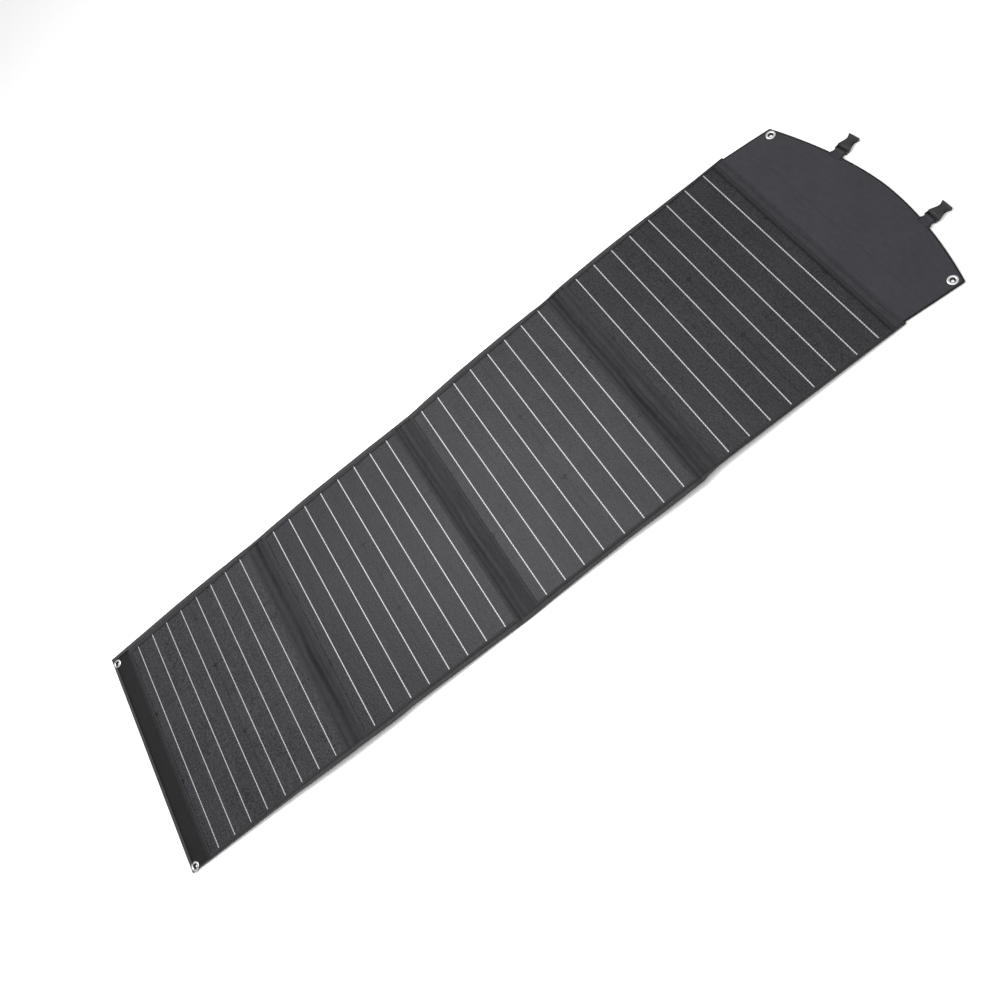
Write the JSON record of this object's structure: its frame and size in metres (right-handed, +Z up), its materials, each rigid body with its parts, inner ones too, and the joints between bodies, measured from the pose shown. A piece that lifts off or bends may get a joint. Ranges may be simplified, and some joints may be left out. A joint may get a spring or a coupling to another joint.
{
  "type": "foldable solar blanket",
  "caption": "Fabric solar blanket of hinged panels that folds like a concertina, with corner grommets and a closing flap held by side-release buckles.",
  "frame": {"origin": "on the floor under the middle of the opened blanket's bounding box", "axes": "+X along the blanket towards the flap and its buckles, +Y across it, +Z up from the floor on the cells' side"},
  "size_m": [1.6493, 0.45, 0.0153],
  "materials": {
    "box_plastic": "matte",
    "buckle_plastic": "satin",
    "flap_fabric": "matte",
    "stiff_board": "matte",
    "grommet_metal": "polished",
    "back_fabric": "matte",
    "tinned_ribbon": "satin",
    "copper_lead": "satin",
    "front_fabric": "matte",
    "cells": "satin",
    "webbing": "matte"
  },
  "bodies": {
    "panel_4": {"blocking_diode": "box_plastic", "cable_gland_left": "box_plastic", "cable_gland_right": "box_plastic", "flap_base": "flap_fabric", "junction_box_lid": "box_plastic", "junction_box_tray": "box_plastic", "panel_4_back_cover": "back_fabric", "panel_4_board": "stiff_board", "panel_4_busbars": "tinned_ribbon", "panel_4_fold_1_lead": "copper_lead", "panel_4_front_border": "front_fabric", "panel_4_laminate": "cells", "terminal_block": "tinned_ribbon"},
    "plug_left": {"buckle_plug_left": "buckle_plastic", "strap_left": "webbing"},
    "plug_right": {"buckle_plug_right": "buckle_plastic", "strap_right": "webbing"},
    "socket_left": {"buckle_socket_left": "buckle_plastic", "webbing_tab_left": "webbing"},
    "socket_right": {"buckle_socket_right": "buckle_plastic", "webbing_tab_right": "webbing"},
    "flap": {"flap_board": "stiff_board", "flap_cover": "flap_fabric", "flap_lining": "flap_fabric", "grommet_eyelet_flap_left": "grommet_metal", "grommet_eyelet_flap_right": "grommet_metal", "grommet_washer_flap_left": "grommet_metal", "grommet_washer_flap_right": "grommet_metal"},
    "spine": {"flap_spine": "flap_fabric"},
    "panel_1": {"grommet_eyelet_tail_left": "grommet_metal", "grommet_eyelet_tail_right": "grommet_metal", "grommet_washer_tail_left": "grommet_metal", "grommet_washer_tail_right": "grommet_metal", "panel_1_back_cover": "back_fabric", "panel_1_board": "stiff_board", "panel_1_busbars": "tinned_ribbon", "panel_1_fold_3_lead": "copper_lead", "panel_1_front_border": "front_fabric", "panel_1_laminate": "cells", "strap_patch_left": "webbing", "strap_patch_right": "webbing"},
    "panel_2": {"panel_2_back_cover": "back_fabric", "panel_2_board": "stiff_board", "panel_2_busbars": "tinned_ribbon", "panel_2_fold_2_lead": "copper_lead", "panel_2_fold_3_lead": "copper_lead", "panel_2_front_border": "front_fabric", "panel_2_laminate": "cells"},
    "panel_3": {"panel_3_back_cover": "back_fabric", "panel_3_board": "stiff_board", "panel_3_busbars": "tinned_ribbon", "panel_3_fold_1_lead": "copper_lead", "panel_3_fold_2_lead": "copper_lead", "panel_3_front_border": "front_fabric", "panel_3_laminate": "cells"},
    "prong_left_inner": {"prong_left_inner": "buckle_plastic"},
    "prong_left_outer": {"prong_left_outer": "buckle_plastic"},
    "prong_right_inner": {"prong_right_inner": "buckle_plastic"},
    "prong_right_outer": {"prong_right_outer": "buckle_plastic"}
  },
  "joints": [
    {"name": "fold_1", "type": "hinge", "parent": "panel_4", "child": "panel_3", "pos_m": [0.29378, 0, 0.0165], "axis": [0, 1, 0], "range_deg": [-3, 183]},
    {"name": "fold_2", "type": "hinge", "parent": "panel_3", "child": "panel_2", "pos_m": [-0.0695, 0, -0.0002], "axis": [0, -1, 0], "range_deg": [-3, 183]},
    {"name": "fold_3", "type": "hinge", "parent": "panel_2", "child": "panel_1", "pos_m": [-0.43278, 0, 0.0165], "axis": [0, 1, 0], "range_deg": [-3, 183]},
    {"name": "flap_bend_1", "type": "hinge", "parent": "panel_4", "child": "spine", "pos_m": [0.6853, 0, 0.0036], "axis": [0, -1, 0], "range_deg": [-5, 90]},
    {"name": "flap_bend_2", "type": "hinge", "parent": "spine", "child": "flap", "pos_m": [0.7103, 0, 0.0036], "axis": [0, -1, 0], "range_deg": [-5, 88]},
    {"name": "tab_right", "type": "hinge", "parent": "flap", "child": "socket_right", "pos_m": [0.78797, -0.1098, 0.0032], "axis": [0.0262, 0.9997, 0], "range_deg": [-70, 70]},
    {"name": "strap_turn_right", "type": "hinge", "parent": "panel_1", "child": "plug_right", "pos_m": [-0.6288, -0.1098, 0.00263], "axis": [0, 1, 0], "range_deg": [0, 180]},
    {"name": "prong_right_inner_flex", "type": "hinge", "parent": "plug_right", "child": "prong_right_inner", "pos_m": [-0.57181, -0.1042, 0.004], "axis": [0.0241, 0, -0.9997], "range_deg": [0, 4], "stiffness_Nm_per_rad": 0.1},
    {"name": "prong_right_outer_flex", "type": "hinge", "parent": "plug_right", "child": "prong_right_outer", "pos_m": [-0.57181, -0.1154, 0.004], "axis": [-0.0241, 0, 0.9997], "range_deg": [0, 4], "stiffness_Nm_per_rad": 0.1},
    {"name": "tab_left", "type": "hinge", "parent": "flap", "child": "socket_left", "pos_m": [0.78202, 0.08, 0.0032], "axis": [-0.1392, 0.9903, 0], "range_deg": [-70, 70]},
    {"name": "strap_turn_left", "type": "hinge", "parent": "panel_1", "child": "plug_left", "pos_m": [-0.6288, 0.08, 0.00263], "axis": [0, 1, 0], "range_deg": [0, 180]},
    {"name": "prong_left_inner_flex", "type": "hinge", "parent": "plug_left", "child": "prong_left_inner", "pos_m": [-0.57181, 0.0744, 0.004], "axis": [-0.0241, 0, 0.9997], "range_deg": [0, 4], "stiffness_Nm_per_rad": 0.1},
    {"name": "prong_left_outer_flex", "type": "hinge", "parent": "plug_left", "child": "prong_left_outer", "pos_m": [-0.57181, 0.0856, 0.004], "axis": [0.0241, 0, -0.9997], "range_deg": [0, 4], "stiffness_Nm_per_rad": 0.1}
  ],
  "couplings": [
    {"joint": "fold_2", "follows": "fold_1", "ratio": 1},
    {"joint": "fold_3", "follows": "fold_1", "ratio": 1}
  ]
}
